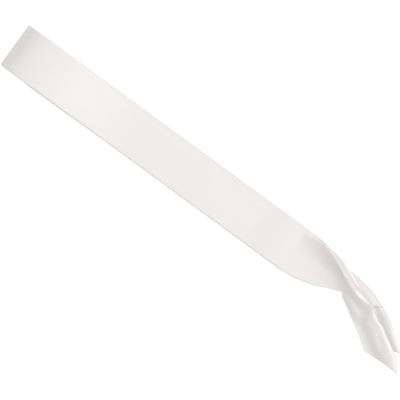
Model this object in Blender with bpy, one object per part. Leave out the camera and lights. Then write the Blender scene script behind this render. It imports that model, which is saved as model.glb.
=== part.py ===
"""A white satin sash that lies flat on a surface.

It is one ribbon of satin. It is folded once at the shoulder, so that its front half lies on its
back half. At the hip both halves are gathered into pleats and turn aside, and they end in two
tails that are doubled lengthwise and cut on a slant.

Sizes are millimetres until a mesh is made, which is in metres. +X runs along the sash from the
shoulder fold to the tails, +Y across it and +Z up. Y is 0 on the middle of the band until the
last step, which puts the origin under the middle of the whole sash.
"""
import math
from collections import namedtuple

import bpy
from mathutils import Vector

MM = 0.001

# The ribbon
WIDTH = 95.0
WALL = 1.0
GAP = 0.3
SLANT_GAP = 0.8
HALF = WIDTH / 2
SATIN_WHITE = (0.871, 0.839, 0.831, 1.0)
SATIN_ROUGHNESS = 0.35
CREASE_ANGLE = math.radians(40)

# Heights of the middle of the wall where layers lie on each other, from the floor up
LAYER = WALL + GAP
BACK_LEVEL = WALL / 2
FRONT_LEVEL = BACK_LEVEL + LAYER
FRONT_UNDER_LEVEL = BACK_LEVEL + 2 * LAYER

# The shoulder fold, a soft roll that isn't pressed flat
FOLD_HEIGHT = 14.0
FOLD_WAIST = 5.0
FOLD_TOP_AT = 80.0
FOLD_FLOOR_AT = 10.0
FOLD_LENGTH = 240.0
FOLD_CORNER = 5.0
FOLD_STEPS = 8
CORNER_STEPS = 3

# The straight band ends where the gathers start
GATHERS_AT = 655.0
STEPS_ALONG = 3

# A section is a set of rails, which are the points where it is seen from above. A place across it
# is 0 on the first rail, 1 on the second and so on. Each row of a table below is one section.
# Front gathers: the free left edge, the crisp crest of the first pleat and the right edge. Level
# is the height of the left edge, rise the crest's height over it, and turned says how far the
# slope between them has changed into the tail's, from 0 to 1.
FrontSection = namedtuple(
    "FrontSection", "left_x left_y crest_x crest_y edge_x edge_y level rise turned"
)
FRONT_SECTIONS = [
    FrontSection(655.0, -47.5, 655.0, 35.0, 655.0, 47.5, FRONT_LEVEL, 0.0, 0.0),
    FrontSection(680.0, -45.2, 685.0, 40.0, 686.0, 47.4, FRONT_LEVEL, 3.2, 0.0),
    FrontSection(705.0, -40.4, 711.0, 38.5, 713.0, 43.6, FRONT_LEVEL, 7.0, 0.0),
    FrontSection(730.0, -32.4, 737.0, 29.0, 741.0, 39.5, FRONT_LEVEL, 9.6, 0.0),
    FrontSection(753.5, -21.4, 761.0, 17.6, 766.0, 31.6, FRONT_LEVEL, 10.8, 0.2),
    FrontSection(777.5, -12.4, 787.0, 6.5, 792.0, 21.6, FRONT_LEVEL, 10.4, 0.6),
    FrontSection(797.0, -26.6, 812.0, 0.5, 817.0, 13.6, 2.0, 9.6, 0.8),
    FrontSection(820.0, -41.2, 841.0, 0.0, 844.0, 3.5, 2.2, 9.0, 1.0),
]

# Heights across a section, as a share of its rise
SlopePoint = namedtuple("SlopePoint", "place height")
FRONT_SLOPE = [
    SlopePoint(0.00, 0.00),
    SlopePoint(0.30, 0.02),
    SlopePoint(0.55, 0.12),
    SlopePoint(0.75, 0.33),
    SlopePoint(0.90, 0.68),
    SlopePoint(1.00, 1.00),
]

# The strip from the crest to the right edge holds one valley and one rounded ridge. Their heights
# are over a straight fall, as a share of the strip's width.
FRONT_PLEATS = [
    SlopePoint(0.20, -0.06),
    SlopePoint(0.45, -0.17),
    SlopePoint(0.60, -0.05),
    SlopePoint(0.75, 0.08),
    SlopePoint(0.90, 0.05),
    SlopePoint(1.00, 0.00),
]
EDGE_SHARE = 0.6
FULL_PLEATS_RISE = 7.0

# Front tail: its free left edge, the crest of its lengthwise fold and the fold's outer side. The
# last row is the slanting cut.
TailSection = namedtuple("TailSection", "left_x left_y crest_x crest_y side_x side_y rise")
FRONT_TAIL_SECTIONS = [
    TailSection(820.0, -41.2, 841.0, 0.0, 844.5, 2.0, 9.0),
    TailSection(840.0, -52.3, 859.2, -14.8, 862.2, -11.9, 8.6),
    TailSection(855.0, -61.6, 876.0, -21.0, 879.4, -18.0, 8.4),
    TailSection(867.5, -69.9, 893.0, -32.0, 897.0, -28.5, 8.3),
    TailSection(875.0, -75.0, 911.0, -45.0, 917.0, -39.5, 8.2),
    TailSection(879.5, -76.7, 928.0, -59.5, 936.5, -54.0, 8.2),
    TailSection(882.5, -77.2, 944.0, -74.0, 954.0, -72.5, 8.2),
]
FRONT_TAIL_SLOPE = [
    SlopePoint(0.00, 0.00),
    SlopePoint(0.14, 0.01),
    SlopePoint(0.26, 0.10),
    SlopePoint(0.42, 0.38),
    SlopePoint(0.56, 0.50),
    SlopePoint(0.70, 0.64),
    SlopePoint(0.86, 0.88),
    SlopePoint(1.00, 1.00),
]
TAIL_LEVEL = FRONT_SECTIONS[-1].level

# The doubled tails turn under at the side, and their lower layer stops short of the left edge. It
# is flat on the floor in the back tail. In the front tail it comes down beside the back tail: a
# height is 0 on the floor and 1 on the back tail.
TURN_STEPS = 6
UnderPoint = namedtuple("UnderPoint", "share height")
UNDER_LAYER = [
    UnderPoint(0.85, 1.0),
    UnderPoint(0.50, 1.0),
    UnderPoint(0.32, 1.0),
    UnderPoint(0.05, 0.0),
]

# Back gathers: the hidden left edge, the line under the front layer's right edge and the outer
# side. Rise is the height of the rounded outer pleat.
BackSection = namedtuple("BackSection", "left_x left_y middle_x middle_y side_x side_y rise")
BACK_SECTIONS = [
    BackSection(655.0, -47.5, 655.0, 30.0, 655.0, 47.5, 0.0),
    BackSection(681.0, -42.5, 685.0, 30.0, 686.0, 45.5, 0.0),
    BackSection(706.0, -36.5, 710.0, 28.0, 713.0, 42.0, 0.0),
    BackSection(731.0, -27.5, 738.0, 26.0, 741.0, 38.0, 0.3),
    BackSection(756.0, -16.0, 764.0, 24.0, 769.0, 31.8, 2.0),
    BackSection(779.0, -9.0, 791.0, 22.5, 796.0, 30.2, 5.0),
    BackSection(802.0, -18.0, 818.0, 14.0, 826.0, 24.5, 5.6),
    BackSection(829.0, -26.0, 843.0, 4.5, 859.5, 12.2, 5.6),
]
BACK_PLEAT = [
    SlopePoint(0.0, 0.0),
    SlopePoint(0.5, 0.0),
    SlopePoint(0.96, 0.0),
    SlopePoint(1.12, 0.8),
    SlopePoint(1.35, 1.0),
    SlopePoint(1.65, 0.9),
    SlopePoint(1.86, 0.55),
    SlopePoint(2.0, 0.0),
]

# Back tail: the hidden left edge, the line under the front tail's side, the crest and the side
BackTailSection = namedtuple(
    "BackTailSection", "left_x left_y middle_x middle_y crest_x crest_y side_x side_y rise"
)
BACK_TAIL_SECTIONS = [
    BackTailSection(829.0, -26.0, 843.0, 4.5, 855.0, 10.1, 859.5, 12.2, 2.0),
    BackTailSection(843.0, -34.0, 863.0, -13.0, 878.3, -0.4, 882.0, 1.8, 4.6),
    BackTailSection(853.0, -40.0, 886.0, -25.0, 901.3, -18.0, 905.0, -15.6, 4.2),
    BackTailSection(863.0, -46.0, 921.0, -44.6, 933.0, -41.4, 937.5, -39.4, 3.0),
]
BACK_TAIL_SLOPE = [
    SlopePoint(0.0, 0.0),
    SlopePoint(1.0, 0.0),
    SlopePoint(1.2, 0.16),
    SlopePoint(1.45, 0.66),
    SlopePoint(1.65, 0.93),
    SlopePoint(1.85, 1.0),
    SlopePoint(2.0, 0.97),
]


def clear_scene():
    for obj in list(bpy.data.objects):
        bpy.data.objects.remove(obj)


def smooth(values, at):
    """The value at a place between the rows of a table, on a smooth curve through them."""
    last = len(values) - 1
    row = min(int(at), last - 1)
    part = at - row
    before = values[max(row - 1, 0)]
    start = values[row]
    end = values[row + 1]
    after = values[min(row + 2, last)]
    leaving = (end - before) / 2
    arriving = (after - start) / 2
    blend = 3 * part**2 - 2 * part**3
    bend_out = part * (1 - part) ** 2
    bend_in = part**2 * (1 - part)
    return start + (end - start) * blend + leaving * bend_out - arriving * bend_in


def section_at(table, at):
    """One section of a table, read at a place between its rows."""
    return type(table[0])(*(smooth(column, at) for column in zip(*table)))


def places_along(table, start=0.0):
    """Evenly spaced places along a table, from a start to its last row."""
    last = len(table) - 1
    steps = last * STEPS_ALONG
    return [start + (last - start) * step / steps for step in range(steps + 1)]


def after_seam(table):
    """The place along a table just past its first row.

    It leaves more than the plain gap, because the wall's ends lean where a seam is slanted.
    """
    first, second = table[0], table[1]
    return SLANT_GAP / math.dist((first.left_x, first.left_y), (second.left_x, second.left_y))


def across(rails, place, height):
    """A point at a place across a section's rails, at a height of its own."""
    first = min(int(place), len(rails) - 2)
    share = place - first
    x = rails[first][0] + (rails[first + 1][0] - rails[first][0]) * share
    y = rails[first][1] + (rails[first + 1][1] - rails[first][1]) * share
    return Vector((x, y, height))


def height_at(slope, place):
    """The height of a slope at a place between its points."""
    for before, after in zip(slope, slope[1:]):
        if place <= after.place:
            share = (place - before.place) / (after.place - before.place)
            return before.height + (after.height - before.height) * share
    return slope[-1].height


def normals(rows):
    """The direction square to the cloth at each point of a grid."""
    result = []
    for i, row in enumerate(rows):
        above = rows[min(i + 1, len(rows) - 1)]
        below = rows[max(i - 1, 0)]
        line = []
        for j in range(len(row)):
            along = above[j] - below[j]
            sideways = row[min(j + 1, len(row) - 1)] - row[max(j - 1, 0)]
            line.append(along.cross(sideways).normalized())
        result.append(line)
    return result


def satin(name):
    material = bpy.data.materials.new(name)
    material.use_nodes = True
    shader = material.node_tree.nodes["Principled BSDF"]
    shader.inputs["Base Color"].default_value = SATIN_WHITE
    shader.inputs["Roughness"].default_value = SATIN_ROUGHNESS
    shader.inputs["Metallic"].default_value = 0.0
    return material


def cloth(name, rows):
    """A wall of cloth round a grid of points on its middle, each row across the ribbon."""
    upward = normals(rows)
    points = []
    for side in (0.5, -0.5):
        for row, directions in zip(rows, upward):
            points += [(p + d * WALL * side) * MM for p, d in zip(row, directions)]
    wide = len(rows[0])
    count = wide * len(rows)
    faces = []
    for i in range(len(rows) - 1):
        for j in range(wide - 1):
            first = i * wide + j
            top = (first, first + wide, first + wide + 1, first + 1)
            faces.append(top)
            faces.append(tuple(index + count for index in reversed(top)))
    rim = [i * wide for i in range(len(rows))]
    rim += [(len(rows) - 1) * wide + j for j in range(1, wide)]
    rim += [i * wide + wide - 1 for i in range(len(rows) - 2, -1, -1)]
    rim += list(range(wide - 2, 0, -1))
    for here, there in zip(rim, rim[1:] + rim[:1]):
        faces.append((there, here, here + count, there + count))
    mesh = bpy.data.meshes.new(name)
    mesh.from_pydata(points, [], faces)
    mesh.shade_smooth()
    mesh.set_sharp_from_angle(angle=CREASE_ANGLE)
    mesh.materials.append(satin(name))
    piece = bpy.data.objects.new(name, mesh)
    bpy.context.collection.objects.link(piece)
    return piece


def fold_profile():
    """(x, z) along the middle of the cloth, from the back layer round the roll to the front."""
    floor_side = FOLD_WAIST - BACK_LEVEL
    top_side = FOLD_HEIGHT - FOLD_WAIST
    points = [(FOLD_LENGTH, BACK_LEVEL), (FOLD_TOP_AT, BACK_LEVEL)]
    for step in range(FOLD_STEPS + 1):
        turn = math.pi / 2 * step / FOLD_STEPS
        x = FOLD_FLOOR_AT * (1 - math.sin(turn))
        points.append((x, FOLD_WAIST - floor_side * math.cos(turn)))
    for step in range(1, FOLD_STEPS + 1):
        turn = math.pi / 2 * step / FOLD_STEPS
        x = FOLD_TOP_AT * (1 - math.cos(turn))
        points.append((x, FOLD_WAIST + top_side * math.sin(turn)))
    for step in range(1, FOLD_STEPS + 1):
        share = step / FOLD_STEPS
        fall = (1 - math.cos(math.pi * share)) / 2
        x = FOLD_TOP_AT + (FOLD_LENGTH - FOLD_TOP_AT) * share
        points.append((x, FOLD_HEIGHT + (FRONT_LEVEL - FOLD_HEIGHT) * fall))
    return points


def fold_columns():
    """(y, pull) across the roll: near each edge it is pulled back, which rounds its corner."""
    turns = [math.pi / 2 * step / CORNER_STEPS for step in range(CORNER_STEPS + 1)]
    right = [
        (HALF - FOLD_CORNER * (1 - math.sin(turn)), FOLD_CORNER * (1 - math.cos(turn)))
        for turn in turns
    ]
    left = [(-y, pull) for y, pull in reversed(right)]
    return left + [(0.0, 0.0)] + right


def make_shoulder_fold():
    rows = []
    for x, z in fold_profile():
        fade = max(0.0, 1 - x / FOLD_TOP_AT)
        rows.append([Vector((x + pull * fade, y, z)) for y, pull in fold_columns()])
    return cloth("shoulder_fold", rows)


def make_band(name, level):
    rows = []
    for x in (FOLD_LENGTH + GAP, GATHERS_AT - GAP):
        rows.append([Vector((x, y, level)) for y in (-HALF, HALF)])
    return cloth(name, rows)


def front_height(place, turned):
    """The share of the rise between the left edge and the crest, in the gathers or the tail."""
    gathered = height_at(FRONT_SLOPE, place)
    return gathered + (height_at(FRONT_TAIL_SLOPE, place) - gathered) * turned


def make_front_gathers():
    rows = []
    for at in places_along(FRONT_SECTIONS):
        cut = section_at(FRONT_SECTIONS, at)
        crest = (cut.crest_x, cut.crest_y)
        edge = (cut.edge_x, cut.edge_y)
        rails = [(cut.left_x, cut.left_y), crest, edge]
        row = [
            across(rails, point.place, cut.level + cut.rise * front_height(point.place, cut.turned))
            for point in FRONT_TAIL_SLOPE
        ]
        strip = math.dist(crest, edge) * min(1.0, cut.rise / FULL_PLEATS_RISE)
        for point in FRONT_PLEATS:
            fall = cut.rise * (1 - (1 - EDGE_SHARE) * point.place)
            height = cut.level + fall + strip * point.height
            row.append(across(rails, 1 + point.place, height))
        rows.append(row)
    return cloth("front_gathers", rows)


def make_back_gathers():
    rows = []
    for at in places_along(BACK_SECTIONS):
        cut = section_at(BACK_SECTIONS, at)
        rails = [
            (cut.left_x, cut.left_y),
            (cut.middle_x, cut.middle_y),
            (cut.side_x, cut.side_y),
        ]
        rise = max(0.0, cut.rise)
        rows.append(
            [
                across(rails, point.place, BACK_LEVEL + rise * point.height)
                for point in BACK_PLEAT
            ]
        )
    return cloth("back_gathers", rows)


def doubled(rails, upper, under_level):
    """A tail's section: its upper layer, the turn at its side and its lower layer."""
    crest_place = len(rails) - 2
    top = upper[-1][1]
    middle = (top + under_level) / 2
    radius = (top - under_level) / 2
    row = [across(rails, place, height) for place, height in upper]
    for step in range(1, TURN_STEPS + 1):
        turn = math.pi * step / TURN_STEPS
        height = middle + radius * math.cos(turn)
        row.append(across(rails, crest_place + math.sin(turn), height))
    for point in UNDER_LAYER:
        height = BACK_LEVEL + (under_level - BACK_LEVEL) * point.height
        row.append(across(rails, crest_place * point.share, height))
    return row


def make_front_tail():
    rows = []
    for at in places_along(FRONT_TAIL_SECTIONS, after_seam(FRONT_TAIL_SECTIONS)):
        cut = section_at(FRONT_TAIL_SECTIONS, at)
        rails = [
            (cut.left_x, cut.left_y),
            (cut.crest_x, cut.crest_y),
            (cut.side_x, cut.side_y),
        ]
        upper = [(point.place, TAIL_LEVEL + cut.rise * point.height) for point in FRONT_TAIL_SLOPE]
        rows.append(doubled(rails, upper, FRONT_UNDER_LEVEL))
    return cloth("front_tail", rows)


def make_back_tail():
    rows = []
    for at in places_along(BACK_TAIL_SECTIONS, after_seam(BACK_TAIL_SECTIONS)):
        cut = section_at(BACK_TAIL_SECTIONS, at)
        rails = [
            (cut.left_x, cut.left_y),
            (cut.middle_x, cut.middle_y),
            (cut.crest_x, cut.crest_y),
            (cut.side_x, cut.side_y),
        ]
        upper = [
            (point.place, FRONT_LEVEL + cut.rise * point.height) for point in BACK_TAIL_SLOPE
        ]
        rows.append(doubled(rails, upper, BACK_LEVEL))
    return cloth("back_tail", rows)


def centre_on_floor(pieces):
    """Puts the origin under the middle of the whole sash, on the surface that it lies on."""
    corners = [vertex.co for piece in pieces for vertex in piece.data.vertices]
    low = Vector([min(corner[axis] for corner in corners) for axis in range(3)])
    high = Vector([max(corner[axis] for corner in corners) for axis in range(3)])
    origin = Vector(((low.x + high.x) / 2, (low.y + high.y) / 2, low.z))
    for piece in pieces:
        for vertex in piece.data.vertices:
            vertex.co -= origin
    return origin


def main():
    clear_scene()
    pieces = [
        make_shoulder_fold(),
        make_band("back_band", BACK_LEVEL),
        make_band("front_band", FRONT_LEVEL),
        make_back_gathers(),
        make_front_gathers(),
        make_back_tail(),
        make_front_tail(),
    ]
    origin = centre_on_floor(pieces)
    print("origin, from the fold's end and the middle of the band (mm):", origin / MM)


main()
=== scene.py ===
# %% [markdown]
# A white satin sash, laid flat and seen from straight above. It is one ribbon of satin, 95 mm
# wide. It is folded once at the shoulder, so that a front half lies on a back half. At the hip
# both halves are drawn into pleats, turn aside and end in two doubled tails with slanting cuts.
#
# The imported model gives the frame: where every stretch of the ribbon lies, in metres. The looks
# are made here: the cloth's true thin form with its folds and creases, its weave, its woven
# edges and its sealed ends, and then the floor, the light and the camera.

# %% Load the frame
import math
from collections import namedtuple

import bpy
import numpy as np
from mathutils import Matrix, Vector


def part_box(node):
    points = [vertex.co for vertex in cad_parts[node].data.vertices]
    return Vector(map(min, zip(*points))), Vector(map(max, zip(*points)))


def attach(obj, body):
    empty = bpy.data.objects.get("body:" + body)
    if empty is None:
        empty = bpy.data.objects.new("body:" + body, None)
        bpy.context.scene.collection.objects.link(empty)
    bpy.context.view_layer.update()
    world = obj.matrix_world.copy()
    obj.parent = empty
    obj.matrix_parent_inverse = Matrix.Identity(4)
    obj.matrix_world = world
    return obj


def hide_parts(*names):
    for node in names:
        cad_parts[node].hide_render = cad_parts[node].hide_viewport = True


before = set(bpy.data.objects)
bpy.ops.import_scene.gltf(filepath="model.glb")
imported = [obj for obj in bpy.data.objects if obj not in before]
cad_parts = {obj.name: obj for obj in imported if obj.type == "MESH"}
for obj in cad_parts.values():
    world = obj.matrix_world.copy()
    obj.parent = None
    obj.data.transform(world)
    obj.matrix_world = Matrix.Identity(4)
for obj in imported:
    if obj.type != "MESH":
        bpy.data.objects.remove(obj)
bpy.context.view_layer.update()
MM = 0.001

# %% [markdown]
# Lengths along the ribbon are easiest to think of from the end of the shoulder fold, and lengths
# across it from the middle of the band. The frame has its origin under the middle of the whole
# sash instead. The back band is a plain rectangle that ends a hair before the gathers, so its box
# gives the step between the two.

# %% Places on the ribbon
GATHERS_AT = 655.0
SEAM = 0.3
WIDTH = 95.0
band_low, band_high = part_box("back_band")
ORIGIN = np.array([
    GATHERS_AT - SEAM - band_high.x / MM,
    -(band_low.y + band_high.y) / 2 / MM,
    0.0,
])


def in_frame(points):
    """Points in millimetres from the fold's end and the band's middle, as metres in the frame."""
    return (np.asarray(points, float) - ORIGIN) * MM


print("The fold's end lies at", np.round(in_frame([0, 0, 0]), 4))

# %% [markdown]
# The photograph looks straight down with no perspective to speak of, so the camera hangs high
# over the sash with a long lens. In the 400-pixel picture the ribbon is 50 pixels wide, which
# makes a pixel 1.9 mm, and it slopes 36.2 degrees down to the right. The middle of the fold's
# end is at one known pixel, and the rest follows.

# %% Camera
PIXELS = 400
RIBBON_PIXELS = 50
MM_PER_PIXEL = WIDTH / RIBBON_PIXELS
SLOPE = math.radians(36.2)
FOLD_END_PIXEL = (15.05, 45.47)
CAMERA_HEIGHT = 8.0

right = Vector((math.cos(SLOPE), math.sin(SLOPE), 0))
up = Vector((-math.sin(SLOPE), math.cos(SLOPE), 0))
to_centre = right * (PIXELS / 2 - FOLD_END_PIXEL[0]) - up * (PIXELS / 2 - FOLD_END_PIXEL[1])
centre = Vector(in_frame(to_centre * MM_PER_PIXEL))

camera_data = bpy.data.cameras.new("camera")
camera_data.lens = camera_data.sensor_width * CAMERA_HEIGHT / (PIXELS * MM_PER_PIXEL * MM)
camera_data.clip_end = 100
camera = bpy.data.objects.new("camera", camera_data)
bpy.context.collection.objects.link(camera)
facing = Matrix((right, up, Vector((0, 0, 1)))).transposed()
camera.matrix_world = Matrix.LocRotScale(
    centre + Vector((0, 0, CAMERA_HEIGHT)), facing.to_quaternion(), None
)
bpy.context.scene.camera = camera
print("lens in mm:", round(camera_data.lens, 1))

# %% [markdown]
# Colours are written as the sRGB hex values that a paint program shows, and Blender's shaders
# want linear light, so one function turns them. A second small function adds a node, sets its
# values and wires its inputs. Every material and every node tree below is built with it.

# %% Colour and node helpers
def linear(hex_colour):
    """An sRGB hex colour as linear red, green, blue and alpha."""
    channels = [int(hex_colour[i:i + 2], 16) / 255 for i in (0, 2, 4)]
    made = [c / 12.92 if c <= 0.04045 else ((c + 0.055) / 1.055) ** 2.4 for c in channels]
    return (*made, 1.0)


def node(tree, kind, wires=None, values=None, **settings):
    """Adds a node with its settings, its inputs' values and the sockets wired into it."""
    made = tree.nodes.new(kind)
    for name, value in settings.items():
        setattr(made, name, value)
    for name, value in (values or {}).items():
        made.inputs[name].default_value = value
    for name, socket in (wires or {}).items():
        tree.links.new(socket, made.inputs[name])
    return made


def material(name, colour, roughness):
    """A new node material with its base colour and roughness set, its tree and its shader."""
    made = bpy.data.materials.new(name)
    made.use_nodes = True
    shader = made.node_tree.nodes["Principled BSDF"]
    shader.inputs["Base Color"].default_value = linear(colour)
    shader.inputs["Roughness"].default_value = roughness
    return made, made.node_tree, shader


print("the hex grey 808080 is this much light:", round(linear("808080")[0], 3))

# %% [markdown]
# The floor is a plain sheet of white studio paper, a little brighter than the satin, because the
# photograph's ground is pure white. The light is soft. A white sky fills every fold, and one
# broad lamp stands nearly overhead, a little to the right. Satin throws most of that light
# straight back up, so a stretch that lies level is the brightest, and every slope, on either
# side of a fold, is a shade darker. That is all that tells the folds of a white cloth apart.

# %% Floor and light
PAPER = "FBFBFB"
PAPER_GLOW = 0.5
FLOOR_SIZE = 30.0
SKY_STRENGTH = 0.36
LAMP_STRENGTH = 2.35
LAMP_SOFTNESS = math.radians(28)
LAMP_HEIGHT = math.radians(72)
LAMP_TURN = math.radians(10)

reach = FLOOR_SIZE / 2
floor_mesh = bpy.data.meshes.new("floor")
floor_corners = [(-reach, -reach, 0), (reach, -reach, 0), (reach, reach, 0), (-reach, reach, 0)]
floor_mesh.from_pydata(floor_corners, [], [(0, 1, 2, 3)])
floor = bpy.data.objects.new("floor", floor_mesh)
bpy.context.collection.objects.link(floor)
paper, tree, shader = material("white_studio_paper", PAPER, 0.9)
shader.inputs["Emission Color"].default_value = (1, 1, 1, 1)
shader.inputs["Emission Strength"].default_value = PAPER_GLOW
floor_mesh.materials.append(paper)

world = bpy.data.worlds.new("studio_sky")
world.use_nodes = True
sky = world.node_tree.nodes["Background"]
sky.inputs["Color"].default_value = (1, 1, 1, 1)
sky.inputs["Strength"].default_value = SKY_STRENGTH
bpy.context.scene.world = world

lamp_data = bpy.data.lights.new("broad_lamp", "SUN")
lamp_data.energy = LAMP_STRENGTH
lamp_data.angle = LAMP_SOFTNESS
lamp = bpy.data.objects.new("broad_lamp", lamp_data)
bpy.context.collection.objects.link(lamp)
towards_lamp = (right * math.cos(LAMP_TURN) + up * math.sin(LAMP_TURN)) * math.cos(LAMP_HEIGHT)
towards_lamp.z = math.sin(LAMP_HEIGHT)
lamp.rotation_euler = towards_lamp.to_track_quat("Z", "Y").to_euler()
bpy.context.scene.view_settings.view_transform = "Standard"
print("towards the lamp:", [round(step, 2) for step in towards_lamp])

# %% [markdown]
# The ribbon is a surface with two directions: along and across. A short table holds a row for
# each section where its form changes. Between the rows a smooth curve gives as many sections as
# the mesh wants. The same curve shapes a section across, so one function serves both.

# %% A smooth curve through a few values
def curve(knots, values, at):
    """The value at each place on a smooth curve through a few known ones."""
    knots = np.asarray(knots, float)
    values = np.asarray(values, float)
    slopes = np.gradient(values, knots)
    first = np.clip(np.searchsorted(knots, at, side="right") - 1, 0, len(knots) - 2)
    gap = knots[first + 1] - knots[first]
    t = (at - knots[first]) / gap
    return (
        (1 + 2 * t) * (1 - t) ** 2 * values[first]
        + t * (1 - t) ** 2 * gap * slopes[first]
        + t**2 * (3 - 2 * t) * values[first + 1]
        - t**2 * (1 - t) * gap * slopes[first + 1]
    )


def profile(points, places):
    """Heights at some places, from a short table of place and height."""
    return curve(list(points), list(points.values()), places)


def section_at(table, at):
    """One section of a table, read at a place between its rows."""
    rows = np.arange(len(table))
    return type(table[0])(*(float(curve(rows, column, at)) for column in zip(*table)))


def ease(value):
    """Goes from 0 to 1 with a soft start and end."""
    value = np.clip(value, 0, 1)
    return value * value * (3 - 2 * value)


print("a quarter of the way, a soft step has risen by", ease(0.25))

# %% [markdown]
# Every section has the same columns, from the ribbon's left edge to its right edge as one walks
# from the shoulder to the hip. The first group reaches from the left edge to the crest of the
# first pleat, and the second from there to the right edge. They stand closer together near the
# edges and the crest, where the cloth bends most.

# %% Columns across the ribbon
UPPER_COLUMNS = 52
OUTER_COLUMNS = 34
BUNCHING = 0.7
even = np.linspace(0, 1, UPPER_COLUMNS)
upper_places = even - BUNCHING * np.sin(2 * math.pi * even) / (2 * math.pi)
outer_places = np.linspace(0, 1, OUTER_COLUMNS + 1)[1:]


def on_rails(rails, places, heights):
    """Points across a section. A place is 0 on the first rail, 1 on the second and so on."""
    rails = np.asarray(rails, float)
    rail = np.arange(len(rails))
    x = np.interp(places, rail, rails[:, 0])
    y = np.interp(places, rail, rails[:, 1])
    return np.stack([x, y, heights], axis=1)


print("columns to the crest:", len(upper_places), "and beyond it:", len(outer_places))

# %% [markdown]
# These are the sections of the front half from the start of its gathers to the cut, in
# millimetres, read off the photograph. The left edge and the crest of the first pleat are points
# seen from above. In the gathers the third point is the free right edge, and in the tail, which
# is doubled lengthwise, it is the outer side of the fold. Level is how high the left edge lies,
# and rise is how far the crest stands over it. Both are guesses from how dark the slopes are.

# %% Front sections
FrontSection = namedtuple(
    "FrontSection", "left_x left_y crest_x crest_y edge_x edge_y level rise climb"
)
FRONT_LEVEL = 1.8
FRONT_SECTIONS = [
    FrontSection(655.0, -46.8, 655.0, 35.0, 655.0, 47.9, 3.6, 0.0, 0.0),
    FrontSection(680.0, -45.4, 685.0, 40.0, 686.0, 47.6, 3.6, 3.8, 0.0),
    FrontSection(705.0, -40.4, 711.0, 38.5, 713.0, 43.2, 3.4, 7.8, 0.5),
    FrontSection(730.0, -32.5, 737.0, 29.0, 741.0, 39.3, 2.9, 10.0, 1.0),
    FrontSection(753.0, -21.9, 759.5, 18.2, 765.0, 32.4, 2.3, 10.9, 1.1),
    FrontSection(768.5, -16.4, 775.5, 11.0, 781.0, 26.0, FRONT_LEVEL, 10.5, 1.7),
    FrontSection(777.5, -12.8, 787.0, 6.3, 792.0, 21.0, FRONT_LEVEL, 9.9, 2.0),
    FrontSection(784.5, -20.2, 797.5, 3.2, 803.0, 17.5, FRONT_LEVEL, 9.6, 2.4),
    FrontSection(797.5, -27.0, 812.0, 0.3, 817.0, 13.2, FRONT_LEVEL, 8.8, 2.8),
    FrontSection(820.0, -40.9, 841.0, 0.0, 844.0, 3.5, FRONT_LEVEL, 7.9, 3.0),
]
TailSection = namedtuple("TailSection", "left_x left_y crest_x crest_y side_x side_y rise climb")
FRONT_TAIL_SECTIONS = [
    TailSection(820.0, -40.9, 841.0, 0.0, 844.5, 2.0, 7.9, 3.0),
    TailSection(840.0, -52.2, 859.3, -14.6, 862.2, -11.8, 6.7, 4.0),
    TailSection(855.0, -61.5, 876.0, -21.0, 879.3, -18.0, 6.3, 4.0),
    TailSection(867.5, -69.9, 893.0, -32.0, 897.0, -28.5, 6.2, 4.0),
    TailSection(874.5, -75.3, 912.2, -43.8, 917.0, -39.5, 6.2, 4.1),
    TailSection(879.2, -77.4, 932.2, -57.0, 937.5, -53.4, 6.2, 4.6),
    TailSection(882.5, -78.2, 950.5, -75.0, 955.0, -75.2, 6.2, 5.0),
]
print("front sections:", len(FRONT_SECTIONS), "and in the tail:", len(FRONT_TAIL_SECTIONS))

# %% [markdown]
# Across a section, the front layer climbs from its left edge to the crest, and it does so in six
# ways: where the gathers begin, in the open gathers, at the pinch, just past it, in the tail and
# at the cut. A climb that steepens late leaves the cloth bright and darkens it only under the
# crest. A steep step between two flatter strips gives the dark band along the tail. The column
# `climb` goes from 0 to 5 through these six and mixes neighbours, so one way melts into the next.

# %% Climbs to the crest
CLIMBS = [
    {0.0: 0.0, 0.3: 0.05, 0.5: 0.1, 0.62: 0.16, 0.74: 0.3, 0.86: 0.57, 0.95: 0.87, 1.0: 1.0},
    {0.0: 0.0, 0.3: 0.07, 0.5: 0.15, 0.66: 0.26, 0.8: 0.48, 0.92: 0.8, 1.0: 1.0},
    {0.0: 0.0, 0.15: 0.05, 0.3: 0.15, 0.45: 0.3, 0.6: 0.48, 0.78: 0.73, 0.92: 0.92, 1.0: 1.0},
    {
        0.0: 0.0, 0.1: 0.05, 0.2: 0.18, 0.31: 0.28, 0.48: 0.33, 0.6: 0.43, 0.78: 0.75,
        0.91: 0.95, 1.0: 1.0,
    },
    {
        0.0: 0.0, 0.165: 0.025, 0.23: 0.07, 0.3: 0.15, 0.365: 0.28, 0.43: 0.45, 0.495: 0.61,
        0.56: 0.75, 0.63: 0.84, 0.76: 0.93, 0.89: 0.995, 0.95: 1.01, 1.0: 1.0,
    },
    {
        0.0: 0.0, 0.22: 0.025, 0.29: 0.07, 0.36: 0.15, 0.43: 0.28, 0.5: 0.45, 0.57: 0.61,
        0.64: 0.75, 0.7: 0.84, 0.82: 0.935, 0.91: 0.985, 0.96: 0.998, 1.0: 1.0,
    },
]


def mixed(ways, mix, places):
    """The two profiles of a list that are nearest to a number, mixed, and read at some places."""
    near = min(max(mix, 0), len(ways) - 1)
    shares = np.clip(1 - np.abs(near - np.arange(len(ways))), 0, 1)
    return shares @ np.array([profile(way, places) for way in ways])


print("half of the way across, they have climbed:", [
    round(float(profile(way, 0.5)), 2) for way in CLIMBS
])

# %% [markdown]
# Right of the crest the gathered cloth falls to its free edge, over shallow pleats. There are
# three ways again: open, at the pinch and past it. They start at the second climb, so `climb`
# less one mixes them. These heights are shares of the strip's width, added to an even fall.
# Where there is hardly any rise yet, the pleats fade out.

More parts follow.
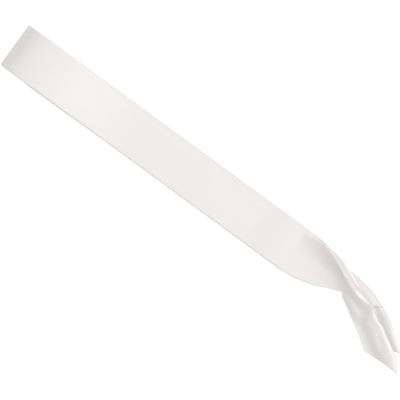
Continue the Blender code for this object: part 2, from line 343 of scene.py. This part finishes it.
# %% Front gathers
PLEATS = [
    {0.0: 0.0, 0.15: -0.03, 0.35: -0.02, 0.6: -0.07, 0.8: -0.05, 1.0: 0.0},
    {0.0: 0.0, 0.2: -0.035, 0.4: -0.035, 0.6: -0.08, 0.75: -0.08, 0.9: -0.03, 1.0: 0.0},
    {0.0: 0.0, 0.28: 0.09, 0.52: 0.125, 0.72: 0.08, 0.93: 0.0, 1.0: 0.0},
]
EDGE_SHARE = 0.42
FULL_PLEATS_RISE = 7.0


def front_gathers_row(at):
    """A section of the front gathers, from the left edge over the crest to the right edge."""
    cut = section_at(FRONT_SECTIONS, at)
    crest = (cut.crest_x, cut.crest_y)
    edge = (cut.edge_x, cut.edge_y)
    rails = [(cut.left_x, cut.left_y), crest, edge]
    climb = cut.rise * mixed(CLIMBS, cut.climb, upper_places)
    upper = on_rails(rails, upper_places, cut.level + climb)
    strip = math.dist(crest, edge) * min(1.0, max(0.0, cut.rise) / FULL_PLEATS_RISE)
    fall = cut.rise * (1 - (1 - EDGE_SHARE) * outer_places)
    heights = cut.level + fall + strip * mixed(PLEATS, cut.climb - 1, outer_places)
    outer = on_rails(rails, 1 + outer_places, heights)
    return np.concatenate([upper, outer])


print("height at the pinch in mm:", round(front_gathers_row(6.0)[:, 2].max(), 1))

# %% [markdown]
# A tail's cloth goes up to the crest, round a soft turn at its side and back under itself. The
# pleats right of the crest slip in under this turn where the tail begins, so the first few
# millimetres of the tail blend from the one form to the other. The lower layer lies on the back
# tail and comes down to the floor beside it, always below the upper one. The cut is a little
# hollow, so the last sections bow.

# %% Front tail
TURN_SHARE = 0.35
UNDER_LEVEL = 3.4
FLOOR_LEVEL = 0.36
UNDER_SLOPE = {
    0.0: 0.0, 0.2: 0.15, 0.3: 0.35, 0.36: 0.5, 0.43: 0.75, 0.5: 0.95, 0.6: 1.0, 1.0: 1.0
}
UNDER_REACH = 0.95
TUCK_LENGTH = 9.0
CUT_BOW = 2.0


def turned_under(rails, top, under_level, drop):
    """The outer columns of a doubled tail: the turn at its side, then its lower layer."""
    middle = (top + under_level) / 2
    radius = (top - under_level) / 2
    last = len(rails) - 2
    turning = np.minimum(outer_places / TURN_SHARE, 1) * math.pi
    returning = np.clip((outer_places - TURN_SHARE) / (1 - TURN_SHARE), 0, 1)
    share = 1 - UNDER_REACH * returning
    places = np.where(returning > 0, last * share, last + np.sin(turning))
    under = FLOOR_LEVEL + (under_level - FLOOR_LEVEL) * profile(drop, share)
    heights = np.where(returning > 0, under, middle + radius * np.cos(turning))
    return on_rails(rails, places, heights)


def front_tail_row(at):
    """A section of the front tail, with its lower layer under it."""
    cut = section_at(FRONT_TAIL_SECTIONS, at)
    start = FRONT_TAIL_SECTIONS[0]
    crest = (cut.crest_x, cut.crest_y)
    rails = [(cut.left_x, cut.left_y), crest, (cut.side_x, cut.side_y)]
    top = FRONT_LEVEL + cut.rise
    climb = cut.rise * mixed(CLIMBS, cut.climb, upper_places)
    upper = on_rails(rails, upper_places, FRONT_LEVEL + climb)
    outer = turned_under(rails, top, UNDER_LEVEL, UNDER_SLOPE)
    pleats = front_gathers_row(len(FRONT_SECTIONS) - 1.0)[UPPER_COLUMNS:]
    moved = np.array([cut.crest_x - start.crest_x, cut.crest_y - start.crest_y, 0])
    tucked = ease(math.hypot(moved[0], moved[1]) / TUCK_LENGTH)
    row = np.concatenate([upper, outer * tucked + (pleats + moved) * (1 - tucked)])
    from_crest = np.clip((cut.crest_x - row[:, 0]) / (cut.crest_x - cut.left_x), 0, 1)
    near_cut = ease(at - len(FRONT_TAIL_SECTIONS) + 2)
    row[:, 1] += CUT_BOW * near_cut * np.sin(math.pi * from_crest)
    return row


print("height of the front tail in mm:", round(front_tail_row(3.0)[:, 2].max(), 1))

# %% [markdown]
# The back half lies under the front one. Only its outer pleat shows, beyond the front layer's
# right edge, and then its tail, which slips out from under a crease. The hidden part stays flat
# on the floor. The rails are the hidden left edge, the line under the front layer's right edge
# and the outer side, and the tail has a crest between these last two.

# %% Back sections
BackSection = namedtuple("BackSection", "left_x left_y middle_x middle_y side_x side_y rise")
BACK_SECTIONS = [
    BackSection(655.0, -46.8, 655.0, 30.0, 655.0, 47.9, 0.0),
    BackSection(681.0, -42.5, 685.0, 30.0, 686.0, 45.5, 0.0),
    BackSection(706.0, -36.5, 710.0, 28.0, 713.0, 42.0, 0.0),
    BackSection(731.0, -27.5, 738.0, 26.0, 741.0, 38.0, 0.3),
    BackSection(756.0, -16.0, 764.0, 24.0, 769.0, 31.8, 1.8),
    BackSection(779.0, -10.0, 791.0, 22.5, 796.0, 30.3, 4.9),
    BackSection(802.0, -18.0, 818.0, 14.0, 826.0, 24.6, 5.0),
    BackSection(829.0, -26.0, 843.0, 4.5, 859.5, 12.4, 5.6),
]
BackTailSection = namedtuple(
    "BackTailSection", "left_x left_y middle_x middle_y crest_x crest_y side_x side_y rise"
)
BACK_TAIL_SECTIONS = [
    BackTailSection(829.0, -26.0, 843.0, 4.5, 855.0, 10.2, 859.5, 12.2, 1.3),
    BackTailSection(843.0, -34.0, 863.0, -13.0, 878.4, -0.2, 882.2, 2.0, 4.0),
    BackTailSection(853.0, -40.0, 886.0, -25.0, 901.2, -18.0, 905.0, -15.6, 3.5),
    BackTailSection(863.0, -46.0, 921.0, -44.6, 933.5, -41.0, 938.5, -38.8, 2.3),
]
BACK_PLEAT = {
    0.0: 0.0, 0.5: 0.0, 0.66: 0.02, 0.9: 0.95, 1.0: 1.0, 1.2: 1.0, 1.65: 0.92, 1.86: 0.55, 2.0: 0.12
}
BACK_TAIL_SLOPE = {
    0.0: -0.4, 0.4: -0.15, 0.75: 0.0, 1.0: 0.0, 1.16: 0.18, 1.36: 0.56, 1.56: 0.82,
    1.78: 0.96, 2.0: 1.0,
}
FLAT_UNDER = {0.0: 1.0, 1.0: 1.0}
BACK_TAIL_LEVEL = 2.6
PLEAT_TUCK = 0.6
LEAST_TUCK = 0.02
TUCK_STEEPNESS = 4.0
CREASE_LENGTH = 5.0
print("back sections:", len(BACK_SECTIONS), "and in the tail:", len(BACK_TAIL_SECTIONS))

# %% [markdown]
# The pleat rises just before the front layer's right edge, so that this edge rests on it, and it
# is tucked under at its outer side. The back tail is doubled as the front one is, and starts
# lower than the pleat. Its left part, which the front tail hides, sinks a little more, to stay
# clear of it. The first few millimetres blend the pleat and the tail, and this short steep step
# is the dark crease that shows in the photograph.

# %% Back gathers and back tail
def back_gathers_row(at):
    """A section of the back gathers: flat to the middle, then the outer pleat, then its tuck."""
    cut = section_at(BACK_SECTIONS, at)
    middle = (cut.middle_x, cut.middle_y)
    rails = [(cut.left_x, cut.left_y), middle, (cut.side_x, cut.side_y)]
    rise = max(0.0, cut.rise)
    places = upper_places * 2
    pleat = rise * np.maximum(profile(BACK_PLEAT, places), 0)
    upper = on_rails(rails, places, FLOOR_LEVEL + pleat)
    tuck = PLEAT_TUCK * ease(rise / BACK_SECTIONS[-1].rise)
    side_height = upper[-1, 2]
    heights = side_height + (FLOOR_LEVEL - side_height) * ease(outer_places * TUCK_STEEPNESS)
    outer = on_rails(rails, 2 - outer_places * max(tuck, LEAST_TUCK), heights)
    return np.concatenate([upper, outer])


def back_tail_row(at):
    """A section of the back tail, which starts lower than the pleat that it comes out of."""
    cut = section_at(BACK_TAIL_SECTIONS, at)
    start = BACK_TAIL_SECTIONS[0]
    middle = (cut.middle_x, cut.middle_y)
    crest = (cut.crest_x, cut.crest_y)
    rails = [(cut.left_x, cut.left_y), middle, crest, (cut.side_x, cut.side_y)]
    places = upper_places * 2
    heights = BACK_TAIL_LEVEL + cut.rise * profile(BACK_TAIL_SLOPE, places)
    upper = on_rails(rails, places, heights)
    outer = turned_under(rails, upper[-1, 2], FLOOR_LEVEL, FLAT_UNDER)
    pleat = back_gathers_row(len(BACK_SECTIONS) - 1.0)
    moved = np.array([cut.side_x - start.side_x, cut.side_y - start.side_y, 0])
    opened = ease(math.hypot(moved[0], moved[1]) / CREASE_LENGTH)
    return np.concatenate([upper, outer]) * opened + (pleat + moved) * (1 - opened)


print("height of the back tail in mm:", round(back_tail_row(1.0)[:, 2].max(), 1))

# %% [markdown]
# At the shoulder the cloth isn't pressed. From the end of the fold the front layer climbs in a
# soft, flattening curve, and then sinks over a hand's breadth until it lies on the back layer.
# The outline is given here from the floor, round the roll and over the top. Its two corners are
# rounded, because the free edges pull back a little.

# %% Shoulder fold and bands
FoldPoint = namedtuple("FoldPoint", "x z")
FOLD_OUTLINE = [
    FoldPoint(60.0, FLOOR_LEVEL),
    FoldPoint(30.0, FLOOR_LEVEL),
    FoldPoint(12.0, 0.3),
    FoldPoint(3.0, 1.0),
    FoldPoint(-0.8, 2.8),
    FoldPoint(-1.4, 4.2),
    FoldPoint(0.6, 5.3),
    FoldPoint(6.0, 7.0),
    FoldPoint(12.0, 9.1),
    FoldPoint(20.0, 11.4),
    FoldPoint(32.0, 13.1),
    FoldPoint(50.0, 14.0),
    FoldPoint(70.0, 14.3),
    FoldPoint(90.0, 14.1),
    FoldPoint(120.0, 12.8),
    FoldPoint(150.0, 10.2),
    FoldPoint(180.0, 7.2),
    FoldPoint(210.0, 4.5),
    FoldPoint(240.0, 2.7),
    FoldPoint(270.0, 2.0),
    FoldPoint(300.0, FRONT_LEVEL),
]
FOLD_SECTIONS = 110
FOLD_CORNER = 3.5
CORNER_LENGTH = 45.0
FRONT_STEP = 5.0
BACK_STEP = 8.0
across_band = front_gathers_row(0.0)[:, 1]
from_left = across_band - across_band[0]
from_right = across_band[-1] - across_band


def band_row(x, height):
    """A straight section of the ribbon at one height."""
    level = np.full(len(across_band), height)
    return np.stack([np.full(len(across_band), x), across_band, level], axis=1)


def fold_rows():
    """Sections round the shoulder fold, with the corners of its end pulled back."""
    knots = np.arange(len(FOLD_OUTLINE))
    at = np.linspace(0, knots[-1], FOLD_SECTIONS)
    outline_x = curve(knots, [point.x for point in FOLD_OUTLINE], at)
    outline_z = curve(knots, [point.z for point in FOLD_OUTLINE], at)
    inset = np.maximum(FOLD_CORNER - np.minimum(from_left, from_right), 0)
    pull = FOLD_CORNER - np.sqrt(np.maximum(FOLD_CORNER**2 - inset**2, 0))
    rows = [band_row(x, z) for x, z in zip(outline_x, outline_z)]
    for row, x in zip(rows, outline_x):
        row[:, 0] += pull * max(0.0, 1 - x / CORNER_LENGTH)
    return rows


print("height of the fold in mm:", max(point.z for point in FOLD_OUTLINE))

# %% [markdown]
# All stretches are now strung together in the order of the real strip: from the back tail's cut
# to the shoulder, round the fold and on to the front tail's cut. Every section has the same
# number of columns, so the whole ribbon is one grid, as it is one piece of cloth. Towards the
# gathers the front band swells a little, as cloth does before it is drawn in.

# %% String the sections together
SWELL_AT = 560.0
SWELL_LENGTH = 75.0
BACK_BAND_AT = 62.0
BACK_TAIL_ROWS = 44
BACK_GATHERS_ROWS = 56
FRONT_GATHERS_ROWS = 104
FRONT_TAIL_ROWS = 70


def sections(table, count, row_of):
    """A number of sections at even places between a table's first row and its last."""
    return [row_of(at) for at in np.linspace(0, len(table) - 1, count)]


swell = FRONT_SECTIONS[0].level - FRONT_LEVEL
back_half = sections(BACK_TAIL_SECTIONS, BACK_TAIL_ROWS, back_tail_row)[:0:-1]
back_half += sections(BACK_SECTIONS, BACK_GATHERS_ROWS, back_gathers_row)[:0:-1]
back_band_places = np.arange(BACK_BAND_AT, GATHERS_AT, BACK_STEP)[::-1]
back_half += [band_row(x, FLOOR_LEVEL) for x in back_band_places]
front_half = fold_rows()
for x in np.arange(FOLD_OUTLINE[-1].x + FRONT_STEP, GATHERS_AT, FRONT_STEP):
    front_half.append(band_row(x, FRONT_LEVEL + swell * ease((x - SWELL_AT) / SWELL_LENGTH)))
front_half += sections(FRONT_SECTIONS, FRONT_GATHERS_ROWS, front_gathers_row)
front_half += sections(FRONT_TAIL_SECTIONS, FRONT_TAIL_ROWS, front_tail_row)[1:]
BACK_ROWS = len(back_half)
grid = np.array(back_half + front_half)
print("sections:", grid.shape[0], "columns:", grid.shape[1])

# %% [markdown]
# Cloth that has been handled is never quite flat. The creases are listed one by one, each with its
# own place, heading, length, width and height: a trough where the height is below nothing, a ridge
# where it is above. Each is a soft mound, so that none has an end that shows. The half that lies
# on the floor has a few as well, ridges only, because it can't sink in. The front layer's left
# edge curls down a little, which draws the thin grey line along it.

# %% Creases and the curled edge
Crease = namedtuple("Crease", "x y heading length width height")
FRONT_CREASES = [
    Crease(330.0, 8.0, 80.0, 70.0, 34.0, 0.25),
    Crease(455.0, -14.0, 104.0, 60.0, 30.0, 0.22),
    Crease(22.0, 50.0, 30.0, 13.0, 9.0, 0.9),
    Crease(742.0, -9.0, -14.0, 34.0, 5.0, 0.1),
    Crease(722.0, 4.0, -20.0, 40.0, 7.0, -0.08),
    Crease(752.0, 2.0, -34.0, 26.0, 5.0, -0.12),
    Crease(892.0, -46.0, -40.0, 17.0, 6.0, -0.4),
    Crease(868.0, -66.5, -33.0, 16.0, 1.8, -0.1),
]
BACK_CREASES = [
    Crease(118.0, 20.0, 66.0, 40.0, 15.0, 0.4),
    Crease(214.0, -16.0, 112.0, 34.0, 18.0, 0.3),
    Crease(351.0, 4.0, 84.0, 52.0, 22.0, 0.35),
    Crease(470.0, 24.0, 58.0, 28.0, 14.0, 0.45),
    Crease(583.0, -10.0, 101.0, 44.0, 16.0, 0.4),
]
CURL = 0.24
CURL_WIDTH = 5.5
CURL_PULL = 0.6


def crease_heights(x, y, creases):
    """What the creases add to the height at each point."""
    added = np.zeros_like(x)
    for crease in creases:
        turn = math.radians(crease.heading)
        along = (x - crease.x) * math.cos(turn) + (y - crease.y) * math.sin(turn)
        aside = (y - crease.y) * math.cos(turn) - (x - crease.x) * math.sin(turn)
        distance = (along / crease.length) ** 2 + (aside / crease.width) ** 2
        added += crease.height * np.exp(-distance)
    return added


back = grid[:BACK_ROWS]
front = grid[BACK_ROWS:]
back[..., 2] += crease_heights(back[..., 0], back[..., 1], BACK_CREASES)
on_top = front[:, :UPPER_COLUMNS]
on_top[..., 2] += crease_heights(on_top[..., 0], on_top[..., 1], FRONT_CREASES)
curled = np.maximum(0, 1 - from_left / CURL_WIDTH) ** 2
front[..., 2] -= CURL * curled * np.minimum(1, front[..., 2] / FRONT_LEVEL)
front[..., 1] += CURL_PULL * curled
print("front creases:", len(FRONT_CREASES), "back creases:", len(BACK_CREASES))
print("lowest and highest point in mm:", np.round([grid[..., 2].min(), grid[..., 2].max()], 2))

# %% [markdown]
# The grid becomes a mesh with one quad between each four neighbours. Its UV map is the cloth
# laid flat, in metres: first the way along each thread, then the way across from the left edge.
# So the weave follows every fold and keeps its size.

# %% Make the ribbon's mesh
def flat_places(points):
    """Each grid point's place on the flat cloth: along its own thread, and from the left edge."""
    steps = np.linalg.norm(np.diff(points, axis=0), axis=2) * MM
    along = np.concatenate([np.zeros((1, points.shape[1])), np.cumsum(steps, axis=0)])
    across = np.broadcast_to(from_left * MM, along.shape)
    return np.stack([along, across], axis=-1)


def cloth_mesh(name, points):
    """A smooth mesh of quads from a grid of points, with the flat cloth as its UV map."""
    rows, columns = points.shape[:2]
    index = np.arange(rows * columns).reshape(rows, columns)
    corners = [index[:-1, :-1], index[1:, :-1], index[1:, 1:], index[:-1, 1:]]
    quads = np.stack(corners, axis=-1).reshape(-1, 4)
    mesh = bpy.data.meshes.new(name)
    mesh.from_pydata(in_frame(points).reshape(-1, 3).tolist(), [], quads.tolist())
    weave = flat_places(points).reshape(-1, 2)
    layer = mesh.uv_layers.new(name="weave")
    layer.data.foreach_set("uv", weave[quads.reshape(-1)].reshape(-1))
    mesh.shade_smooth()
    return mesh


ribbon_mesh = cloth_mesh("satin_ribbon", grid)
ribbon = bpy.data.objects.new("satin_ribbon", ribbon_mesh)
bpy.context.collection.objects.link(ribbon)

# %% [markdown]
# Satin is a thin cloth, so the surface gets a wall of a third of a millimetre, half of it to
# each side. A modifier does that, and it stays live, so the grid itself remains plain.

# %% Thickness
THICKNESS = 0.35
wall = ribbon.modifiers.new("thickness", "SOLIDIFY")
wall.thickness = THICKNESS * MM
wall.offset = 0
print("wall in mm:", THICKNESS)

# %% [markdown]
# The cloth is warp-faced polyester satin. On its face almost only warp threads show, which float
# over several weft threads before they dip. They run along the ribbon, so it shines in a band
# across them: the anisotropy, turned to the threads by the UV map. The real threads lie about
# 0.1 mm apart, far too fine for this view, so they are drawn 0.5 mm apart, and the floats are as
# much longer. The brick pattern is that of the floats, each row shifted against the last.

# %% Woven satin: shine and floats
THREAD = 0.5 * MM
FLOAT_LENGTH = 3.2 * MM
GROOVE_SHARE = 0.3
satin, tree, shader = material("woven_polyester_satin", "DBD7D5", 0.42)
shader.inputs["Specular IOR Level"].default_value = 0.9
shader.inputs["Anisotropic"].default_value = 0.35
shader.inputs["Sheen Weight"].default_value = 0.05
flat = node(tree, "ShaderNodeUVMap", uv_map="weave").outputs["UV"]
threads = node(tree, "ShaderNodeTangent", direction_type="UV_MAP", uv_map="weave")
tree.links.new(threads.outputs["Tangent"], shader.inputs["Tangent"])
floats = node(
    tree,
    "ShaderNodeTexBrick",
    wires={"Vector": flat},
    values={
        "Scale": 1.0,
        "Brick Width": FLOAT_LENGTH,
        "Row Height": THREAD,
        "Mortar Size": THREAD * GROOVE_SHARE,
        "Mortar Smooth": 1.0,
    },
    offset=0.4,
)
print("floats in mm:", round(FLOAT_LENGTH / MM, 1), "by", THREAD / MM)

# %% [markdown]
# The last two millimetres at each edge are the selvedge: a denser weave with ribs across, and
# duller, so that it frames the shine. A mask finds it by the distance from the ribbon's middle,
# and fades in over a part of its width. Blender's wave texture turns once in pi / 10 of its
# scaled length, which gives the ribs their scale.

# %% Selvedge
RIB = 1.0 * MM
SELVEDGE = 2.0 * MM
SELVEDGE_FULL = 1.6 * MM
ribs = node(
    tree,
    "ShaderNodeTexWave",
    wires={"Vector": flat},
    values={"Scale": math.pi / (10 * RIB)},
)
across = node(tree, "ShaderNodeSeparateXYZ", wires={"Vector": flat}).outputs["Y"]
aside = node(
    tree,
    "ShaderNodeMath",
    wires={0: across},
    values={1: WIDTH * MM / 2},
    operation="SUBTRACT",
)
from_middle = node(tree, "ShaderNodeMath", wires={0: aside.outputs[0]}, operation="ABSOLUTE")
selvedge = node(
    tree,
    "ShaderNodeMapRange",
    wires={"Value": from_middle.outputs[0]},
    values={"From Min": WIDTH * MM / 2 - SELVEDGE, "From Max": WIDTH * MM / 2 - SELVEDGE_FULL},
).outputs["Result"]
print("selvedge in mm:", SELVEDGE / MM)

# %% [markdown]
# Some warp threads are a little thicker or tighter than others, which gives satin faint streaks
# along its length, about 60 mm long and 1.4 mm wide. They vary the gloss and hardly the colour,
# so they are a stretched noise on the roughness. The floats and the ribs are bump, each on its
# own part of the cloth.

# %% Gloss streaks and bump
STREAKS_PER_METRE = (16.0, 700.0, 1.0)
GLOSSIEST = 0.4
DULLEST = 0.44
SELVEDGE_ROUGHNESS = 0.6
WEAVE_DEPTH = 0.08 * MM
WEAVE_STRENGTH = 0.25
stretched = node(
    tree,
    "ShaderNodeVectorMath",
    wires={0: flat},
    values={1: STREAKS_PER_METRE},
    operation="MULTIPLY",
)
streaks = node(
    tree,
    "ShaderNodeTexNoise",
    wires={"Vector": stretched.outputs["Vector"]},
    values={"Scale": 1.0, "Detail": 2.0},
)
gloss = node(
    tree,
    "ShaderNodeMapRange",
    wires={"Value": streaks.outputs["Fac"]},
    values={"From Min": 0.3, "From Max": 0.7, "To Min": GLOSSIEST, "To Max": DULLEST},
)
roughness = node(
    tree,
    "ShaderNodeMix",
    wires={"Factor": selvedge, "A": gloss.outputs["Result"]},
    values={"B": SELVEDGE_ROUGHNESS},
)
weave_height = node(
    tree,
    "ShaderNodeMix",
    wires={"Factor": selvedge, "A": floats.outputs["Fac"], "B": ribs.outputs["Fac"]},
)
bump = node(
    tree,
    "ShaderNodeBump",
    wires={"Height": weave_height.outputs["Result"]},
    values={"Strength": WEAVE_STRENGTH, "Distance": WEAVE_DEPTH},
    invert=True,
)
tree.links.new(roughness.outputs["Result"], shader.inputs["Roughness"])
tree.links.new(bump.outputs["Normal"], shader.inputs["Normal"])
ribbon_mesh.materials.append(satin)
print("nodes in the satin:", len(tree.nodes))

# %% [markdown]
# Two small things follow the rims of the strip, and each is a rule along a line, so Geometry Nodes
# make both. The first helper starts a node group with an input for its lines and one for each
# size. The second ends a group: it turns instances into real geometry and gives it its material.
# The third runs a group on some lines of points and keeps what it made as a plain mesh.

# %% Helpers for what follows a line
def line_group(name, *inputs):
    """A new geometry node group, and the sockets of its inputs."""
    group = bpy.data.node_groups.new(name, "GeometryNodeTree")
    group.interface.new_socket("Lines", in_out="INPUT", socket_type="NodeSocketGeometry")
    for label in inputs:
        group.interface.new_socket(label, in_out="INPUT", socket_type="NodeSocketFloat")
    group.interface.new_socket("Finish", in_out="INPUT", socket_type="NodeSocketMaterial")
    group.interface.new_socket("Made", in_out="OUTPUT", socket_type="NodeSocketGeometry")
    return group, node(group, "NodeGroupInput").outputs


def end_group(group, given, shape):
    """Ends a group: its instances become real geometry, with the material that it is given."""
    real = node(group, "GeometryNodeRealizeInstances", wires={"Geometry": shape})
    dressed = node(
        group,
        "GeometryNodeSetMaterial",
        wires={"Geometry": real.outputs["Geometry"], "Material": given["Finish"]},
    )
    node(group, "NodeGroupOutput", wires={"Made": dressed.outputs["Geometry"]})


def grow(name, lines, group, **values):
    """The plain mesh object that a group makes along open lines of points."""
    path_mesh = bpy.data.meshes.new(name + "_path")
    ends = np.cumsum([len(line) for line in lines]) - 1
    edges = [(i, i + 1) for i in range(ends[-1]) if i not in ends]
    path_mesh.from_pydata(in_frame(np.concatenate(lines)).tolist(), edges, [])
    path = bpy.data.objects.new(name + "_path", path_mesh)
    bpy.context.collection.objects.link(path)
    modifier = path.modifiers.new("grow", "NODES")
    modifier.node_group = group
    for socket in group.interface.items_tree:
        if socket.name in values:
            modifier[socket.identifier] = values[socket.name]
    grown = path.evaluated_get(bpy.context.evaluated_depsgraph_get())
    piece = bpy.data.objects.new(name, bpy.data.meshes.new_from_object(grown))
    bpy.context.collection.objects.link(piece)
    bpy.data.objects.remove(path)
    print(name, "has", len(piece.data.polygons), "faces")
    return piece


# %% [markdown]
# At a woven edge the weft turns back at every pass, so the selvedge ends in a row of tiny loops
# that makes the rim look soft and beaded instead of sliced. The real ones are 0.2 mm apart. They
# are drawn 2 mm apart, as small grains of 20 faces that lie along the rim.

# %% Weft turns along both long edges
turns, given = line_group("row_of_weft_turns", "Pitch", "Radius")
rim = node(turns, "GeometryNodeMeshToCurve", wires={"Mesh": given["Lines"]})
stops = node(
    turns,
    "GeometryNodeResampleCurve",
    wires={"Curve": rim.outputs["Curve"], "Length": given["Pitch"]},
    mode="LENGTH",
)
grain = node(
    turns,
    "GeometryNodeMeshIcoSphere",
    wires={"Radius": given["Radius"]},
    values={"Subdivisions": 1},
)
heading = node(turns, "GeometryNodeInputTangent")
along_rim = node(
    turns,
    "FunctionNodeAlignRotationToVector",
    wires={"Vector": heading.outputs["Tangent"]},
    axis="X",
)
size = node(
    turns,
    "FunctionNodeRandomValue",
    values={"Min": (1.8, 0.8, 0.8), "Max": (2.8, 1.0, 1.0), "Seed": 5},
    data_type="FLOAT_VECTOR",
)
loops = node(
    turns,
    "GeometryNodeInstanceOnPoints",
    wires={
        "Points": stops.outputs["Curve"],
        "Instance": grain.outputs["Mesh"],
        "Rotation": along_rim.outputs["Rotation"],
        "Scale": size.outputs["Value"],
    },
)
end_group(turns, given, loops.outputs["Instances"])
# Bulked polyester thread has no float to shine, so the turns look matt and a shade lighter.
thread = material("polyester_selvedge_thread", "DEDAD8", 0.6)[0]
long_edges = [grid[:, 0], grid[:, -1]]
weft_turns = grow("weft_turns", long_edges, turns, Pitch=2.0 * MM, Radius=0.25 * MM, Finish=thread)

# %% [markdown]
# Satin frays where it is cut across, so the two slanting ends are sealed with heat. The threads
# melt together there into a thin, hard, slightly uneven bead, glossier and a shade darker than
# the cloth.

# %% Sealed ends
seal, given = line_group("sealed_cut", "Step", "Radius", "Lumps")
cut = node(seal, "GeometryNodeMeshToCurve", wires={"Mesh": given["Lines"]})
stops = node(
    seal,
    "GeometryNodeResampleCurve",
    wires={"Curve": cut.outputs["Curve"], "Length": given["Step"]},
    mode="LENGTH",
)
ring = node(
    seal,
    "GeometryNodeCurvePrimitiveCircle",
    wires={"Radius": given["Radius"]},
    values={"Resolution": 6},
)
bead = node(
    seal,
    "GeometryNodeCurveToMesh",
    wires={"Curve": stops.outputs["Curve"], "Profile Curve": ring.outputs["Curve"]},
    values={"Fill Caps": True},
)
lumps = node(seal, "ShaderNodeTexNoise", values={"Scale": 600.0, "Detail": 1.0})
swollen = node(
    seal,
    "ShaderNodeMath",
    wires={0: lumps.outputs["Fac"], 1: given["Lumps"]},
    operation="MULTIPLY",
)
facing_out = node(seal, "GeometryNodeInputNormal")
outwards = node(
    seal,
    "ShaderNodeVectorMath",
    wires={0: facing_out.outputs["Normal"], "Scale": swollen.outputs[0]},
    operation="SCALE",
)
uneven = node(
    seal,
    "GeometryNodeSetPosition",
    wires={"Geometry": bead.outputs["Mesh"], "Offset": outwards.outputs["Vector"]},
)
end_group(seal, given, uneven.outputs["Geometry"])
# Molten polyester sets clear and smooth, a little yellower, so the bead catches a small gleam.
melted = material("melted_polyester", "D6D0C8", 0.32)[0]
cuts = [grid[0], grid[-1]]
sealed_ends = grow(
    "sealed_ends", cuts, seal, Step=0.8 * MM, Radius=0.18 * MM, Lumps=0.1 * MM, Finish=melted
)

# %% [markdown]
# Everything rides on the part's only body: the ribbon and the small things along its rims. The
# frame's own solids are then hidden, so the ribbon shows in their place.

# %% Ride on the body, hide the frame
for piece in (ribbon, weft_turns, sealed_ends):
    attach(piece, "root")
    lowest = min(piece.data.vertices, key=lambda vertex: vertex.co.z)
    print(piece.name, "is lowest, in mm, at", [round(value / MM, 2) for value in lowest.co])
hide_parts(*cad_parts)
